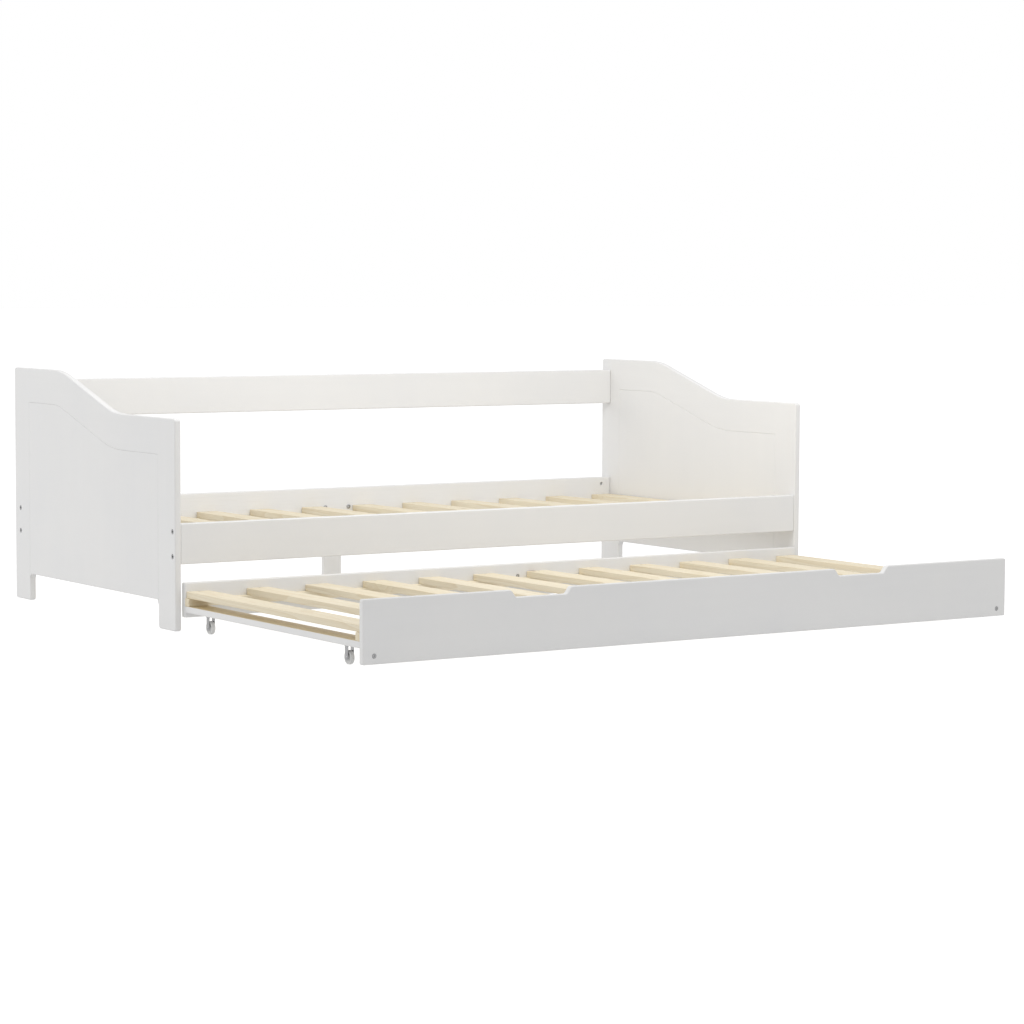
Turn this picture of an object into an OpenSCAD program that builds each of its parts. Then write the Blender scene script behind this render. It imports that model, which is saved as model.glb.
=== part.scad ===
// Daybed with a low trundle bed that rolls out from under it, in painted and bare pine.
// X runs along the bed, Y from front to back and Z up. The origin lies on the floor, in the
// middle of the footprint that the daybed and the rolled-out trundle cover together.
// All sizes are in millimetres.

/* [Mattress space] */
// Clear length between the two end panels
inner_l = 2005; // [1905:5:2055]

/* [End panels] */
// Depth of an end panel from its front edge to its back edge
panel_d = 978; // [960:2:1010]
// Thickness of the end panels
panel_t = 18; // [18:1:24]
// Width of the posts and of the curved top rail
post_w = 95; // [85:1:105]
// Height of the end panels at the back
back_h = 650; // [630:5:690]
// Height of the end panels at the front
front_h = 546; // [520:1:560]
// Radius of the two bends in the top edge
bend_r = 300; // [200:10:320]
// Slope of the top edge between its bends, in degrees
bend_a = 17.5; // [15:0.5:22]
// Distance from the panel's middle back to the middle of the slope
bend_y = 26; // [0:1:40]
// Clear height between the feet, under the centre panel
foot_h = 74; // [60:1:90]

/* [Rails] */
// Height of the rail boards
rail_h = 105; // [95:1:115]
// Thickness of the rail boards
rail_t = 24; // [22:1:26]
// Height of the lower rails' bottom edge above the floor
rail_z = 172; // [172:1:178]
// Height of the upper back rail's bottom edge above the floor
top_rail_z = 511; // [480:1:525]
// Distance of the front rail behind the panels' front edge
front_set = 2; // [0:0.5:6]
// Distance of the back rails in front of the panels' back edge
back_set = 23; // [20:1:26]
// Distance between the two bolts at a rail end
bolt_gap = 64; // [54:1:68]

/* [Slats] */
// Number of slats in each bed
slat_n = 12; // [9:1:12]
// Width of a slat
slat_w = 67; // [60:1:80]
// Thickness of a slat
slat_t = 17; // [15:1:18]
// Distance between the middles of the daybed's slats
bed_pitch = 175.3; // [150:0.1:176]
// Height of the daybed's slat tops above the floor
bed_slat_z = 223.5; // [220:0.5:228]

/* [Trundle] */
// Length of the trundle's front panel
front_l = 1999; // [1895:1:1999]
// Thickness of the trundle's front panel and back board
board_t = 18; // [16:1:20]
// Distance from the daybed's middle forward to the trundle's front face
front_out = 1393; // [1380:1:1393]
// Height of the front panel's bottom edge above the floor
front_z = 11.5; // [8:0.5:20]
// Height of the front panel's top edge above the floor
front_top = 165.4; // [150:0.2:166]
// Distance from the daybed's middle forward to the back board's back face
back_out = 481.6; // [478:0.2:485]
// Height of the back board's bottom edge above the floor
back_z = 36; // [30:1:44]
// Height of the back board's top edge above the floor
back_top = 125.6; // [115:0.2:140]
// Distance between the middles of the trundle's slats
low_pitch = 174.7; // [150:0.1:175]
// Width of the flat end boards that carry the casters
end_w = 60; // [50:1:70]
// Thickness of the end boards
end_t = 16.4; // [15:0.2:18]
// Height of the ledgers that lie on the end boards
low_ledger_h = 20.5; // [16:0.5:24]
// Distance of a finger notch from the panel's middle
notch_x = 499; // [450:1:560]
// Width of a finger notch at the top edge
notch_w = 182; // [140:2:200]
// Depth of a finger notch
notch_d = 18; // [12:1:24]

/* [Casters] */
// Height from the floor to the underside of the end boards
caster_h = 49.6; // [47:0.2:54]
// Radius of a wheel
wheel_r = 17; // [15:0.5:18]
// Width of a wheel
wheel_w = 11; // [9:0.5:12]
// Distance of the casters from the bed's middle, along its length
caster_x = 968; // [960:1:972]
// Distance from the daybed's middle forward to the front casters
caster_front = 1278; // [1260:1:1300]
// Distance from the daybed's middle forward to the rear casters
caster_back = 583; // [560:1:600]

/* [Hidden] */
$fn = 48;
WHITE = [0.93, 0.93, 0.92];
PINE = [0.91, 0.83, 0.67];
BEECH = [0.80, 0.65, 0.45];
STEEL = [0.70, 0.71, 0.72];
WHEEL_GREY = [0.83, 0.83, 0.82];

eps = 1;                                 // overrun of a cut past the face it opens
bed_y = (front_out - panel_d / 2) / 2;   // the daybed's middle, behind the origin
panel_x = inner_l / 2;                   // inner faces of the end panels
panel_y = panel_d / 2;                   // front and back edges of the end panels
post_y = panel_y - post_w;               // inner edges of the posts
corner_r = 8;                            // rounded corners of the posts
fillet_r = 10;                           // fillets where the feet meet the centre panel
arc_n = 10;                              // facets along one bend

front_rail_y = -panel_y + front_set;     // front face of the front rail
back_rail_y = panel_y - back_set - rail_t; // front face of the back rails
rail_mid = rail_z + rail_h / 2;

// S-shaped top edge
bend_rise = back_h - front_h;
slope_rise = bend_rise - 2 * bend_r * (1 - cos(bend_a));
bend_run = 2 * bend_r * sin(bend_a) + slope_rise / tan(bend_a);
bend_front = bend_y - bend_run / 2;
bend_back = bend_y + bend_run / 2;

// daybed ledgers and slats
ledger_t = 20;
bed_ledger_h = 30;
bed_ledger_z = bed_slat_z - slat_t - bed_ledger_h;
bed_ledger_mid = bed_ledger_z + bed_ledger_h / 2;
bed_slat_front = front_rail_y + rail_t;
bed_slat_l = back_rail_y - bed_slat_front;

// middle leg, a board with a wider head behind the lower back rail
leg_w = 59;
leg_t = 18;
leg_head_w = 110;
leg_head_z = 190;
leg_head_h = 72;
leg_bolt_x = 40;
leg_bolt_z = 220;
leg_bolt_l = 38;
leg_head_t = 3;

// trundle
low_front = -front_out + board_t;        // back face of the front panel
low_back = -back_out - board_t;          // front face of the back board
end_x = 998;                             // outer edges of the end boards, for the full length
end_out = min(end_x, front_l / 2 - 1.5);
low_ledger_z = caster_h + end_t;
low_ledger_mid = low_ledger_z + low_ledger_h / 2;
low_slat_z = low_ledger_z + low_ledger_h;
notch_slope = 20;                        // length of a notch's sloping ends

// fasteners
bolt_r = 3;
bolt_head_r = 6.5;
bolt_head_t = 4;
bolt_l = 66;                             // from the panel's outer face to the bolt's tip
socket_r = 2.9;
socket_t = 2.5;
bolt_hole_r = 3.4;
nut_in = 33.5;                           // from the rail's end to its barrel nut
nut_r = 4.9;
nut_l = 14;
nut_hole_r = 5;
nut_hole_l = 20;
nut_bore_r = 3.1;
dowel_r = 4;
dowel_l = 32;
dowel_in = 12;                           // part of a dowel that sits in the post
dowel_gap = 60;                          // between the two dowels of the upper rail's end
cam_r = 7.5;
cam_t = 12.5;
cam_in = 34;
cam_bolt_r = 2.8;
screw_r = 1.8;
screw_head_r = 3.6;
screw_head_h = 2.2;
screw_l = 30;
short_screw_l = 14;
low_bolt_r = 2.5;
low_bolt_head_r = 5.5;
low_bolt_head_t = 2.4;
low_bolt_z = 32;
low_bolt_x = 969;
low_bolt_l = 24;
centre_screw_x = 25;
centre_screw_z = 91;
centre_screw_l = 14;
clear = 0.1;                             // play between a screw and its hole
bracket_t = 2;
bracket_w = 26;
bracket_l = 30;
bracket_z = 15;                          // lower edge of a bracket
bracket_screw_x = 7;
bracket_screw_y = 17;

// caster forks
plate_l = 38;
plate_w = 18;
plate_t = 1.6;
cheek_w = 14;
cheek_t = 1.5;
cheek_in = 7;                            // from the caster's middle to a cheek's inner face
axle_r = 2.5;
axle_gap = 0.05;                         // running clearance of a wheel on its axle
rivet_r = 3.8;
rivet_t = 1.1;
plate_screw_y = 13.5;

SLATS = [for (i = [1:slat_n]) i];

// ---- shared shapes ------------------------------------------------------------------------

// A box given by its two opposite corners
module block(low, high) {
    translate(low) cube(high - low);
}

// An outline in Y and Z, extruded along X from x
module side_board(x, t) {
    translate([x, 0, 0]) rotate([90, 0, 90]) linear_extrude(height = t) children();
}

// An outline in X and Z, extruded along Y from y
module front_board(y, t) {
    translate([0, y + t, 0]) rotate([90, 0, 0]) linear_extrude(height = t) children();
}

// A cylinder along X or along Y that starts at p
module x_pin(p, r, l) {
    translate(p) rotate([0, 90, 0]) cylinder(r = r, h = l);
}

module y_pin(p, r, l) {
    translate(p) rotate([-90, 0, 0]) cylinder(r = r, h = l);
}

// A countersunk screw whose head is at z = 0 and whose point is down. grow widens it to a hole.
module screw(l, grow = 0) {
    translate([0, 0, -screw_head_h]) {
        cylinder(r1 = screw_r + grow, r2 = screw_head_r + grow, h = screw_head_h);
    }
    translate([0, 0, -l - grow]) cylinder(r = screw_r + grow, h = l + grow - screw_head_h);
}

// Points of an arc round (cx, cy) between two angles
function arc(cx, cy, r, a0, a1, n) =
    [for (i = [0:n]) [cx + r * cos(a0 + (a1 - a0) * i / n), cy + r * sin(a0 + (a1 - a0) * i / n)]];

// The S-shaped line that runs d below the top edge, from the front to the back
function s_line(d) = concat(
    arc(bend_front, front_h + bend_r, bend_r + d, -90, -90 + bend_a, arc_n),
    arc(bend_back, back_h - bend_r, bend_r - d, 90 + bend_a, 90, arc_n)
);

function reversed(list) = [for (i = [len(list) - 1:-1:0]) list[i]];

// Where a mirrored pair of rail ends starts: x of the panel's outer face, for side -1 or 1
function outer_x(side) = side * (panel_x + panel_t);

// x where a pin of length l starts, so that it runs inwards from a point on one side
function inward(side, x, l) = side < 0 ? x : x - l;

// Heights of the two bolts at each lower rail end
BOLT_Z = [rail_mid - bolt_gap / 2, rail_mid + bolt_gap / 2];
RAIL_MID_Y = [front_rail_y + rail_t / 2, back_rail_y + rail_t / 2];
DOWEL_Z = [top_rail_z + rail_h / 2 - dowel_gap / 2, top_rail_z + rail_h / 2 + dowel_gap / 2];

// ---- end panels ---------------------------------------------------------------------------

// One post with its foot. front is -1 for the front post and 1 for the back post.
module post_outline(front, h) {
    polygon(concat(
        [[front * post_y, h]],
        [for (p = arc(panel_y - corner_r, h - corner_r, corner_r, 90, 0, 4)) [front * p[0], p[1]]],
        [for (p = arc(panel_y - corner_r, corner_r, corner_r, 0, -90, 4)) [front * p[0], p[1]]],
        [for (p = arc(post_y + corner_r, corner_r, corner_r, -90, -180, 4)) [front * p[0], p[1]]]
    ));
}

// Bolt holes with counterbores for the heads, at one depth y
module post_bolt_holes(side, y) {
    for (z = BOLT_Z) {
        x_pin([inward(side, outer_x(side) + side * eps, panel_t + 2 * eps), y, z],
              bolt_hole_r, panel_t + 2 * eps);
        x_pin([inward(side, outer_x(side) + side * eps, bolt_head_t + eps), y, z],
              bolt_head_r + clear, bolt_head_t + eps);
    }
}

module front_post(side) {
    color(WHITE) difference() {
        side_board(side < 0 ? -panel_x - panel_t : panel_x, panel_t) post_outline(-1, front_h);
        post_bolt_holes(side, RAIL_MID_Y[0]);
        dowel_holes(side, RAIL_MID_Y[0], [rail_mid]);
    }
}

module back_post(side) {
    color(WHITE) difference() {
        side_board(side < 0 ? -panel_x - panel_t : panel_x, panel_t) post_outline(1, back_h);
        post_bolt_holes(side, RAIL_MID_Y[1]);
        dowel_holes(side, RAIL_MID_Y[1], concat([rail_mid], DOWEL_Z));
        cam_bolt_hole(side);
    }
}

// Curved rail along the top, of even width, between the posts
module top_rail(side) {
    color(WHITE) side_board(side < 0 ? -panel_x - panel_t : panel_x, panel_t) {
        polygon(concat(
            [[-post_y, front_h - post_w], [-post_y, front_h]],
            s_line(0),
            [[post_y, back_h], [post_y, back_h - post_w]],
            reversed(s_line(post_w))
        ));
    }
}

// Centre panel between the posts, under the top rail, with a fillet at each foot
module centre_panel(side) {
    color(WHITE) side_board(side < 0 ? -panel_x - panel_t : panel_x, panel_t) {
        polygon(concat(
            arc(-post_y + fillet_r, foot_h - fillet_r, fillet_r, 180, 90, 5),
            arc(post_y - fillet_r, foot_h - fillet_r, fillet_r, 90, 0, 5),
            [[post_y, back_h - post_w]],
            reversed(s_line(post_w)),
            [[-post_y, front_h - post_w]]
        ));
    }
}

// ---- rails --------------------------------------------------------------------------------

// Dowel holes at one rail end, shared by the post and the rail
module dowel_holes(side, y, heights) {
    for (z = heights) {
        x_pin([inward(side, side * (panel_x + dowel_in + clear), dowel_l + 2 * clear), y, z],
              dowel_r + clear, dowel_l + 2 * clear);
    }
}

// Hole for the bolt of a cam fitting, from the post into the middle of the cam's hole
module cam_bolt_hole(side) {
    l = dowel_in + clear + cam_in - cam_r / 2;
    x_pin([inward(side, side * (panel_x + dowel_in + clear), l), RAIL_MID_Y[1],
           top_rail_z + rail_h / 2], cam_bolt_r + clear, l);
}

// A lower rail: two bolt holes, two barrel nut holes and a dowel hole at each end, and holes
// for the ledger's screws. into is the way its inner face's holes go, 1 or -1 along Y.
module lower_rail(y, into) {
    inner = into > 0 ? y : y + rail_t;
    color(WHITE) difference() {
        block([-panel_x, y, rail_z], [panel_x, y + rail_t, rail_z + rail_h]);
        for (side = [-1, 1]) {
            for (z = BOLT_Z) {
                x_pin([inward(side, side * (panel_x + eps), bolt_l), y + rail_t / 2, z],
                      bolt_hole_r, bolt_l);
                y_pin([side * (panel_x - nut_in), into > 0 ? inner - eps : inner - nut_hole_l, z],
                      nut_hole_r, nut_hole_l + eps);
            }
            dowel_holes(side, y + rail_t / 2, [rail_mid]);
        }
        ledger_screws(bed_pitch, inner - into * ledger_t, bed_ledger_mid, into, clear);
    }
}

module front_rail() {
    lower_rail(front_rail_y, -1);
}

module lower_back_rail() {
    difference() {
        lower_rail(back_rail_y, 1);
        for (side = [-1, 1]) {
            y_pin([side * leg_bolt_x, back_rail_y - eps, leg_bolt_z], bolt_r + clear, rail_t + 2 * eps);
        }
    }
}

module upper_back_rail() {
    color(WHITE) difference() {
        block([-panel_x, back_rail_y, top_rail_z], [panel_x, back_rail_y + rail_t, top_rail_z + rail_h]);
        for (side = [-1, 1]) {
            dowel_holes(side, RAIL_MID_Y[1], DOWEL_Z);
            cam_bolt_hole(side);
            y_pin([side * (panel_x - cam_in), back_rail_y + rail_t - cam_t, top_rail_z + rail_h / 2],
                  cam_r + clear, cam_t + eps);
        }
    }
}

// Board that props the lower back rail at the middle of the bed
module middle_leg() {
    color(WHITE) difference() {
        union() {
            block([-leg_w / 2, back_rail_y + rail_t, 0],
                  [leg_w / 2, back_rail_y + rail_t + leg_t, leg_head_z + 1]);
            block([-leg_head_w / 2, back_rail_y + rail_t, leg_head_z],
                  [leg_head_w / 2, back_rail_y + rail_t + leg_t, leg_head_z + leg_head_h]);
        }
        for (side = [-1, 1]) {
            y_pin([side * leg_bolt_x, back_rail_y, leg_bolt_z], bolt_r + clear, leg_bolt_l + clear);
        }
    }
}

// ---- slats and ledgers --------------------------------------------------------------------

function slat_x(i, pitch) = (i - (slat_n + 1) / 2) * pitch;

// Middles of every second gap between slats, where the ledgers are screwed to their boards
function gap_x(pitch) = [for (k = [1:2:slat_n - 1]) (k - slat_n / 2) * pitch];

// One slat with a screw hole near each end
module slat(x, y, l, top, inset) {
    color(PINE) difference() {
        block([x - slat_w / 2, y, top - slat_t], [x + slat_w / 2, y + l, top]);
        for (end = [y + inset, y + l - inset]) translate([x, end, top]) screw(screw_l, clear);
    }
}

module bed_slat(i) {
    slat(slat_x(i, bed_pitch), bed_slat_front, bed_slat_l, bed_slat_z, ledger_t / 2);
}

module trundle_slat(i) {
    slat(slat_x(i, low_pitch), low_front, low_back - low_front, low_slat_z + slat_t, ledger_t / 2);
}

// The row of screws that go down through the slats into one ledger
module slat_screws(pitch, y, top, grow = 0) {
    for (i = SLATS) translate([slat_x(i, pitch), y, top]) screw(screw_l, grow);
}

// The row of screws that go through one ledger into its board. The heads are at y, and into
// is -1 where the board is in front of the ledger and 1 where it is behind it.
module ledger_screws(pitch, y, z, into, grow = 0) {
    for (x = gap_x(pitch)) translate([x, y, z]) rotate([into * 90, 0, 0]) screw(screw_l, grow);
}

module ledger(x, y, z, h, pitch, slat_top, into) {
    color(PINE) difference() {
        block([-x, y, z], [x, y + ledger_t, z + h]);
        slat_screws(pitch, y + ledger_t / 2, slat_top, clear);
        ledger_screws(pitch, into < 0 ? y + ledger_t : y, z + h / 2, into, clear);
    }
}

module bed_front_ledger() {
    ledger(panel_x - eps, bed_slat_front, bed_ledger_z, bed_ledger_h, bed_pitch, bed_slat_z, -1);
}

module bed_back_ledger() {
    ledger(panel_x - eps, back_rail_y - ledger_t, bed_ledger_z, bed_ledger_h, bed_pitch, bed_slat_z, 1);
}

module trundle_front_ledger() {
    ledger(end_out, low_front, low_ledger_z, low_ledger_h, low_pitch, low_slat_z + slat_t, -1);
}

module trundle_back_ledger() {
    ledger(end_out, low_back - ledger_t, low_ledger_z, low_ledger_h, low_pitch, low_slat_z + slat_t, 1);
}

// ---- fasteners of the daybed --------------------------------------------------------------

// Bolts through the posts into the ends of the lower rails
module rail_bolts() {
    color(STEEL) for (side = [-1, 1]) for (y = RAIL_MID_Y) for (z = BOLT_Z) {
        difference() {
            union() {
                x_pin([inward(side, outer_x(side), bolt_head_t), y, z], bolt_head_r, bolt_head_t);
                x_pin([inward(side, outer_x(side), bolt_l), y, z], bolt_r, bolt_l);
            }
            x_pin([inward(side, outer_x(side) + side * eps, socket_t + eps), y, z],
                  socket_r, socket_t + eps, $fn = 6);
        }
    }
}

// Barrel nuts that the rail bolts screw into
module barrel_nuts() {
    color(STEEL) for (side = [-1, 1]) for (z = BOLT_Z) for (y = RAIL_MID_Y) {
        x = side * (panel_x - nut_in);
        difference() {
            y_pin([x, y - nut_l / 2, z], nut_r, nut_l);
            x_pin([x - nut_r - eps, y, z], nut_bore_r, 2 * (nut_r + eps));
        }
    }
}

module dowel(side, y, z) {
    x_pin([inward(side, side * (panel_x + dowel_in), dowel_l), y, z], dowel_r, dowel_l);
}

// Wooden dowels that locate all the rail ends in the posts
module rail_dowels() {
    color(BEECH) for (side = [-1, 1]) {
        for (y = RAIL_MID_Y) dowel(side, y, rail_mid);
        for (z = DOWEL_Z) dowel(side, RAIL_MID_Y[1], z);
    }
}

// Cam fittings that pull the upper back rail to the posts: a bolt in the post and a cam in the rail
module cam_fittings() {
    z = top_rail_z + rail_h / 2;
    color(STEEL) for (side = [-1, 1]) {
        l = dowel_in + cam_in - cam_r - clear;
        x_pin([inward(side, side * (panel_x + dowel_in), l), RAIL_MID_Y[1], z], cam_bolt_r, l);
        y_pin([side * (panel_x - cam_in), back_rail_y + rail_t - cam_t, z], cam_r, cam_t);
    }
}

// Bolts through the lower back rail into the head of the middle leg
module leg_bolts() {
    color(STEEL) for (side = [-1, 1]) {
        y_pin([side * leg_bolt_x, back_rail_y - leg_head_t, leg_bolt_z], bolt_head_r, leg_head_t);
        y_pin([side * leg_bolt_x, back_rail_y - leg_head_t, leg_bolt_z], bolt_r, leg_head_t + leg_bolt_l);
    }
}

// Wood screws of the slats and the ledgers
module bed_screws() {
    color(STEEL) {
        slat_screws(bed_pitch, bed_slat_front + ledger_t / 2, bed_slat_z);
        slat_screws(bed_pitch, back_rail_y - ledger_t / 2, bed_slat_z);
        ledger_screws(bed_pitch, bed_slat_front + ledger_t, bed_ledger_mid, -1);
        ledger_screws(bed_pitch, back_rail_y - ledger_t, bed_ledger_mid, 1);
    }
}

// ---- trundle ------------------------------------------------------------------------------

// Top edge of the front panel across one finger notch, with soft ends
function notch_line(middle) = concat(
    [for (i = [0:6]) [middle - notch_w / 2 + notch_slope * i / 6,
                      front_top - notch_d * (1 - cos(30 * i)) / 2]],
    [for (i = [6:-1:0]) [middle + notch_w / 2 - notch_slope * i / 6,
                         front_top - notch_d * (1 - cos(30 * i)) / 2]]
);

module trundle_front_panel() {
    color(WHITE) difference() {
        front_board(-front_out, board_t) {
            polygon(concat(
                [[-front_l / 2, front_z], [-front_l / 2, front_top]],
                notch_line(-notch_x),
                notch_line(notch_x),
                [[front_l / 2, front_top], [front_l / 2, front_z]]
            ));
        }
        for (side = [-1, 1]) {
            y_pin([side * low_bolt_x, -front_out - eps, low_bolt_z],
                  low_bolt_head_r + clear, low_bolt_head_t + eps);
            y_pin([side * low_bolt_x, -front_out, low_bolt_z], low_bolt_r + clear, board_t + eps);
        }
        ledger_screws(low_pitch, low_front + ledger_t, low_ledger_mid, -1, clear);
    }
}

module trundle_back_board() {
    color(WHITE) difference() {
        block([-end_out, low_back, back_z], [end_out, low_back + board_t, back_top]);
        ledger_screws(low_pitch, low_back - ledger_t, low_ledger_mid, 1, clear);
        back_board_screws(clear);
        y_pin([centre_screw_x, low_back - eps, centre_screw_z],
              low_bolt_head_r + clear, low_bolt_head_t + eps);
        y_pin([centre_screw_x, low_back, centre_screw_z], low_bolt_r + clear, centre_screw_l + clear);
    }
}

// Screws through the back board into the ends of the end boards
module back_board_screws(grow = 0) {
    for (side = [-1, 1]) for (d = [-end_w / 4, end_w / 4]) {
        translate([side * (end_out - end_w / 2) + d, low_back + board_t, caster_h + end_t / 2]) {
            rotate([-90, 0, 0]) screw(screw_l, grow);
        }
    }
}

// Flat board along one end of the trundle, on top of two casters
module end_board(side) {
    color(WHITE) difference() {
        block([side < 0 ? -end_out : end_out - end_w, low_front, caster_h],
              [side < 0 ? -end_out + end_w : end_out, low_back, caster_h + end_t]);
        back_board_screws(clear);
        short_screws(clear);
    }
}

// Angle brackets that hold the front panel to the end boards
module trundle_brackets() {
    color(STEEL) difference() {
        for (side = [-1, 1]) {
            x = side * low_bolt_x;
            block([x - bracket_w / 2, low_front, bracket_z],
                  [x + bracket_w / 2, low_front + bracket_t, caster_h]);
            block([x - bracket_w / 2, low_front, caster_h - bracket_t],
                  [x + bracket_w / 2, low_front + bracket_l, caster_h]);
        }
        for (side = [-1, 1]) {
            y_pin([side * low_bolt_x, low_front - eps, low_bolt_z],
                  low_bolt_r + clear, bracket_t + 2 * eps);
        }
        short_screws(clear);
    }
}

// Bolts of the brackets, and the one at the middle of the back board
module trundle_bolts() {
    color(STEEL) {
        for (side = [-1, 1]) {
            y_pin([side * low_bolt_x, -front_out, low_bolt_z], low_bolt_head_r, low_bolt_head_t);
            y_pin([side * low_bolt_x, -front_out, low_bolt_z], low_bolt_r, low_bolt_l);
        }
        y_pin([centre_screw_x, low_back, centre_screw_z], low_bolt_head_r, low_bolt_head_t);
        y_pin([centre_screw_x, low_back, centre_screw_z], low_bolt_r, centre_screw_l);
    }
}

// Wood screws of the slats, the ledgers and the back board
module trundle_screws() {
    color(STEEL) {
        slat_screws(low_pitch, low_front + ledger_t / 2, low_slat_z + slat_t);
        slat_screws(low_pitch, low_back - ledger_t / 2, low_slat_z + slat_t);
        ledger_screws(low_pitch, low_front + ledger_t, low_ledger_mid, -1);
        ledger_screws(low_pitch, low_back - ledger_t, low_ledger_mid, 1);
        back_board_screws();
    }
}

// ---- casters ------------------------------------------------------------------------------

CASTER_Y = [-caster_front, -caster_back];

// Short screws that hold the casters and the brackets to the end boards, from below
module short_screws(grow = 0) {
    for (side = [-1, 1]) {
        for (y = CASTER_Y) for (d = [-plate_screw_y, plate_screw_y]) {
            translate([side * caster_x, y + d, caster_h - plate_t]) rotate([180, 0, 0]) {
                screw(short_screw_l, grow);
            }
        }
        for (d = [-bracket_screw_x, bracket_screw_x]) {
            translate([side * low_bolt_x + d, low_front + bracket_screw_y, caster_h - bracket_t]) {
                rotate([180, 0, 0]) screw(short_screw_l, grow);
            }
        }
    }
}

module caster_screws() {
    color(STEEL) short_screws();
}

// One cheek of a fork, a strip with a round end, drilled for the axle. x is its lower face.
module cheek(x) {
    difference() {
        union() {
            block([x, -cheek_w / 2, wheel_r], [x + cheek_t, cheek_w / 2, caster_h - plate_t]);
            x_pin([x, 0, wheel_r], cheek_w / 2, cheek_t);
        }
        x_pin([x - eps, 0, wheel_r], axle_r + axle_gap, cheek_t + 2 * eps);
    }
}

// Fixed forks that let the wheels roll from front to back
module caster_forks() {
    color(STEEL) difference() {
        for (side = [-1, 1]) for (y = CASTER_Y) translate([side * caster_x, y, 0]) {
            block([-plate_w / 2, -plate_l / 2, caster_h - plate_t], [plate_w / 2, plate_l / 2, caster_h]);
            cheek(cheek_in);
            cheek(-cheek_in - cheek_t);
        }
        short_screws(clear);
    }
}

// Riveted axles of the wheels
module caster_axles() {
    half = cheek_in + cheek_t;
    color(STEEL) for (side = [-1, 1]) for (y = CASTER_Y) {
        x_pin([side * caster_x - half, y, wheel_r], axle_r, 2 * half);
        for (end = [-half - rivet_t, half]) {
            x_pin([side * caster_x + end, y, wheel_r], rivet_r, rivet_t);
        }
    }
}

// One wheel, turning on its axle
module wheel(side, y) {
    edge = 1;
    color(WHEEL_GREY) translate([side * caster_x, y, wheel_r]) rotate([0, 90, 0]) rotate_extrude() {
        polygon([
            [axle_r + axle_gap, -wheel_w / 2], [wheel_r - edge, -wheel_w / 2],
            [wheel_r, -wheel_w / 2 + edge], [wheel_r, wheel_w / 2 - edge],
            [wheel_r - edge, wheel_w / 2], [axle_r + axle_gap, wheel_w / 2]
        ]);
    }
}

// ---- assembly -----------------------------------------------------------------------------

// Sub-parts are drawn round the daybed's middle and moved back to the origin's place here
module placed() {
    translate([0, bed_y, 0]) children();
}

placed() front_post(-1);  // left_front_post
placed() back_post(-1);  // left_back_post
placed() top_rail(-1);  // left_top_rail
placed() centre_panel(-1);  // left_centre_panel
placed() front_post(1);  // right_front_post
placed() back_post(1);  // right_back_post
placed() top_rail(1);  // right_top_rail
placed() centre_panel(1);  // right_centre_panel
placed() front_rail();
placed() lower_back_rail();
placed() upper_back_rail();
placed() middle_leg();
placed() bed_front_ledger();
placed() bed_back_ledger();
placed() rail_bolts();
placed() barrel_nuts();
placed() rail_dowels();
placed() cam_fittings();
placed() leg_bolts();
placed() bed_screws();
placed() trundle_front_panel();
placed() trundle_back_board();
placed() end_board(-1);  // left_end_board
placed() end_board(1);  // right_end_board
placed() trundle_front_ledger();
placed() trundle_back_ledger();
placed() trundle_brackets();
placed() trundle_bolts();
placed() trundle_screws();
placed() caster_forks();
placed() caster_axles();
placed() caster_screws();
placed() wheel(-1, -caster_front);  // wheel_front_left
placed() wheel(1, -caster_front);  // wheel_front_right
placed() wheel(-1, -caster_back);  // wheel_back_left
placed() wheel(1, -caster_back);  // wheel_back_right
for (i = SLATS) placed() bed_slat(i);
for (i = SLATS) placed() trundle_slat(i);
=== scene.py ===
"""Looks of a white painted daybed with a slatted trundle bed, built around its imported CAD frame."""

import math
import random

import bmesh
import bpy
from mathutils import Matrix, Vector


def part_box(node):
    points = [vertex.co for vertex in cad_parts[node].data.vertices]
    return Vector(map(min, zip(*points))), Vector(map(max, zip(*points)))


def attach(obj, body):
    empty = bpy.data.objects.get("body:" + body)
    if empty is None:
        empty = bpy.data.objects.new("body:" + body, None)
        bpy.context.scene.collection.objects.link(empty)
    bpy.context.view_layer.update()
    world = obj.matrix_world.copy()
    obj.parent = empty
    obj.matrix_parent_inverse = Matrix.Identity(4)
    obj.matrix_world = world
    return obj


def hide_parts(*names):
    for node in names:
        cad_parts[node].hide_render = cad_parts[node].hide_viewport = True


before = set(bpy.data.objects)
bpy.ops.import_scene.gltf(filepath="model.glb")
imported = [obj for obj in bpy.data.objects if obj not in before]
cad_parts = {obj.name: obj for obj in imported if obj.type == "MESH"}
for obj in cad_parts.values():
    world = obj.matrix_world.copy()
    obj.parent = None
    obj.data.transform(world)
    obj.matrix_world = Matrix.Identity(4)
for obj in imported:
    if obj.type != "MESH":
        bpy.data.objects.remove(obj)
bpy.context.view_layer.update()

MM = 0.001
SLAT_N = 12             # slats in each of the two bases
SEED = 7
rng = random.Random(SEED)


# ---- measures of the frame -----------------------------------------------------------------

def box(node):
    """Lowest and highest corner of a CAD node, as vectors."""
    low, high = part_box(node)
    return Vector(low), Vector(high)


POST_LOW, POST_HIGH = box("left_front_post")
BACK_HIGH = box("left_back_post")[1]
POST_W = POST_HIGH.y - POST_LOW.y
PANEL_MID = (POST_LOW.y + BACK_HIGH.y) / 2      # y of the end panels' middle
PANEL_HALF = (BACK_HIGH.y - POST_LOW.y) / 2
INNER_HALF = PANEL_HALF - POST_W                # half of the space between the posts
FRONT_H = POST_HIGH.z
BACK_H = BACK_HIGH.z
CORNER_R = 8 * MM       # corners of the posts
FILLET_R = 10 * MM      # fillets between the centre panels and the feet
FOOT_H = box("left_centre_panel")[0].z + FILLET_R

# S-shaped top edge, as in the CAD model
BEND_R = 300 * MM
BEND_A = math.radians(17.5)
BEND_Y = 26 * MM
BEND_N = 16

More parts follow.
